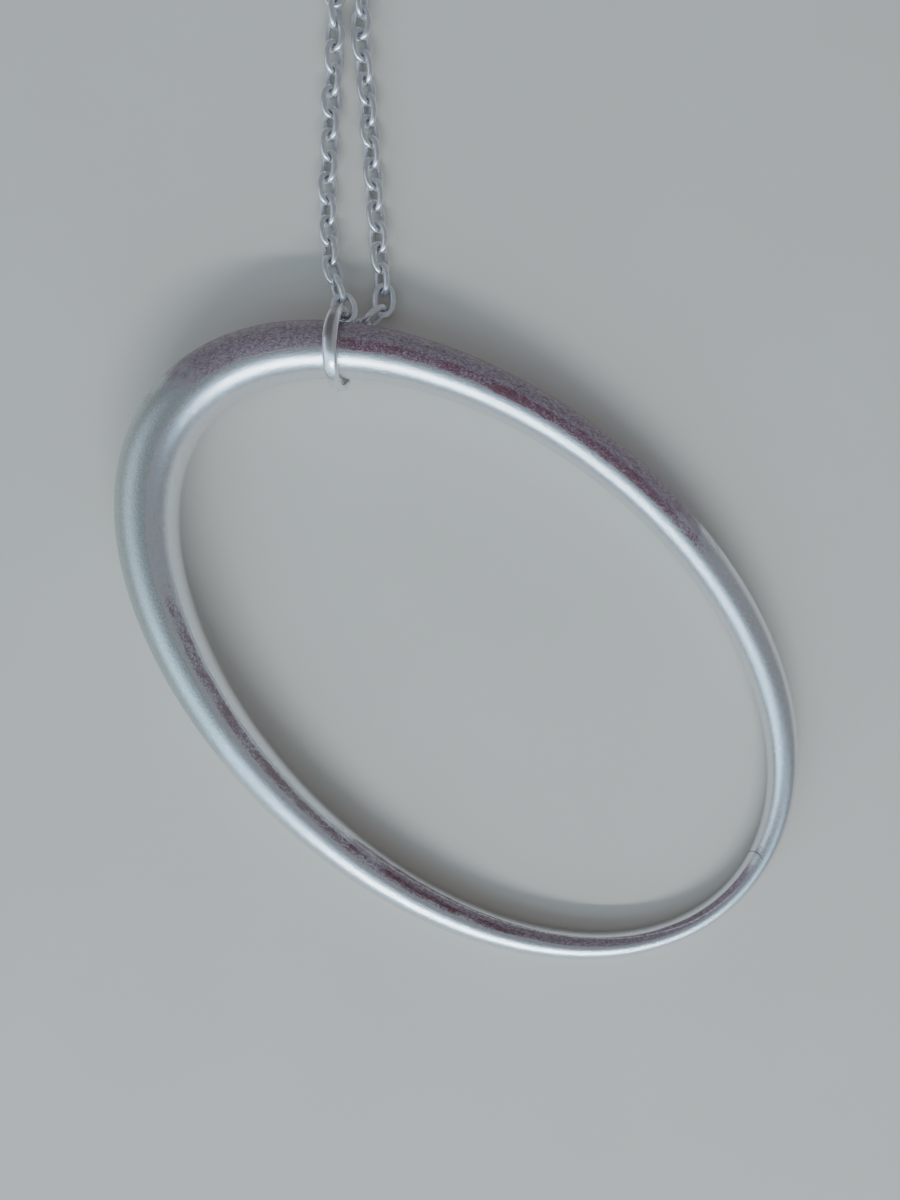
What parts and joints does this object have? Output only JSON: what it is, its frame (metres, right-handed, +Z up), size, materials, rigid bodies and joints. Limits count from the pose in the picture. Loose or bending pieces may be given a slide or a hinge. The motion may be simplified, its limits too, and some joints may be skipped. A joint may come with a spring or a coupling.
{
  "type": "pendant necklace",
  "caption": "Open oval hoop pendant of tapering round tube on a ring bail, hung from a fine cable chain with a lobster clasp, lying flat.",
  "frame": {"origin": "under the middle of the pendant (hoop and bail), on the surface that the necklace lies on", "axes": "+Z up from the surface; +Y from the pendant towards the bail and the chain; +X to the right, towards the hoop's thin end"},
  "size_m": [0.0662, 0.129, 0.0081],
  "materials": {
    "hoop_silver": "satin polished silver with a mauve tarnish along the outer upper side and in the crease",
    "bail_silver": "polished silver wire, lightly tarnished",
    "chain_silver": "bright silver wire, darker between the links",
    "fitting_silver": "polished silver"
  },
  "bodies": {
    "chain": {"left_link_01": "chain_silver", "left_link_02": "chain_silver", "left_link_03": "chain_silver", "left_link_04": "chain_silver", "left_link_05": "chain_silver", "left_link_06": "chain_silver", "left_link_07": "chain_silver", "left_link_08": "chain_silver", "left_link_09": "chain_silver", "left_link_10": "chain_silver", "left_link_11": "chain_silver", "left_link_12": "chain_silver", "left_link_13": "chain_silver", "left_link_14": "chain_silver", "left_link_15": "chain_silver", "left_link_16": "chain_silver", "right_link_01": "chain_silver", "right_link_02": "chain_silver", "right_link_03": "chain_silver", "right_link_04": "chain_silver", "right_link_05": "chain_silver", "right_link_06": "chain_silver", "right_link_07": "chain_silver", "right_link_08": "chain_silver", "right_link_09": "chain_silver", "right_link_10": "chain_silver", "right_link_11": "chain_silver", "right_link_12": "chain_silver", "right_link_13": "chain_silver", "right_link_14": "chain_silver", "right_link_15": "chain_silver", "right_link_16": "chain_silver", "right_link_17": "chain_silver", "right_link_18": "chain_silver", "chain_lead_left": "chain_silver", "chain_lead_right": "chain_silver", "chain_coil": "chain_silver", "chain_tail_left": "chain_silver", "chain_tail_right": "chain_silver", "jump_ring": "fitting_silver", "end_ring": "fitting_silver"},
    "pendant_bail": {"bail": "bail_silver"},
    "pendant_hoop": {"hoop": "hoop_silver"},
    "clasp": {"clasp_body": "fitting_silver", "clasp_rivet": "fitting_silver", "clasp_spring": "fitting_silver"},
    "clasp_lever": {"clasp_lever": "fitting_silver"}
  },
  "joints": [
    {"name": "bail_turn", "type": "hinge", "parent": "chain", "child": "pendant_bail", "pos_m": [-0.0117, 0.0279, 0.00399], "axis": [0.9872, -0.0604, 0.1478], "range_deg": [-20, 20]},
    {"name": "hoop_swing", "type": "hinge", "parent": "pendant_bail", "child": "pendant_hoop", "pos_m": [-0.01171, 0.02767, 0.00415], "axis": [0.9982, -0.052, -0.0293], "range_deg": [-140, 125]},
    {"name": "clasp_turn", "type": "hinge", "parent": "chain", "child": "clasp", "pos_m": [-0.00147, 0.0848, 0.00135], "axis": [0, 0, 1], "range_deg": [-25, 25]},
    {"name": "lever_open", "type": "hinge", "parent": "clasp", "child": "clasp_lever", "pos_m": [0.00061, 0.0828, 0.00087], "axis": [0, 0, -1], "range_deg": [0, 18], "stiffness_Nm_per_rad": 0.002, "springref_deg": -17.19}
  ]
}
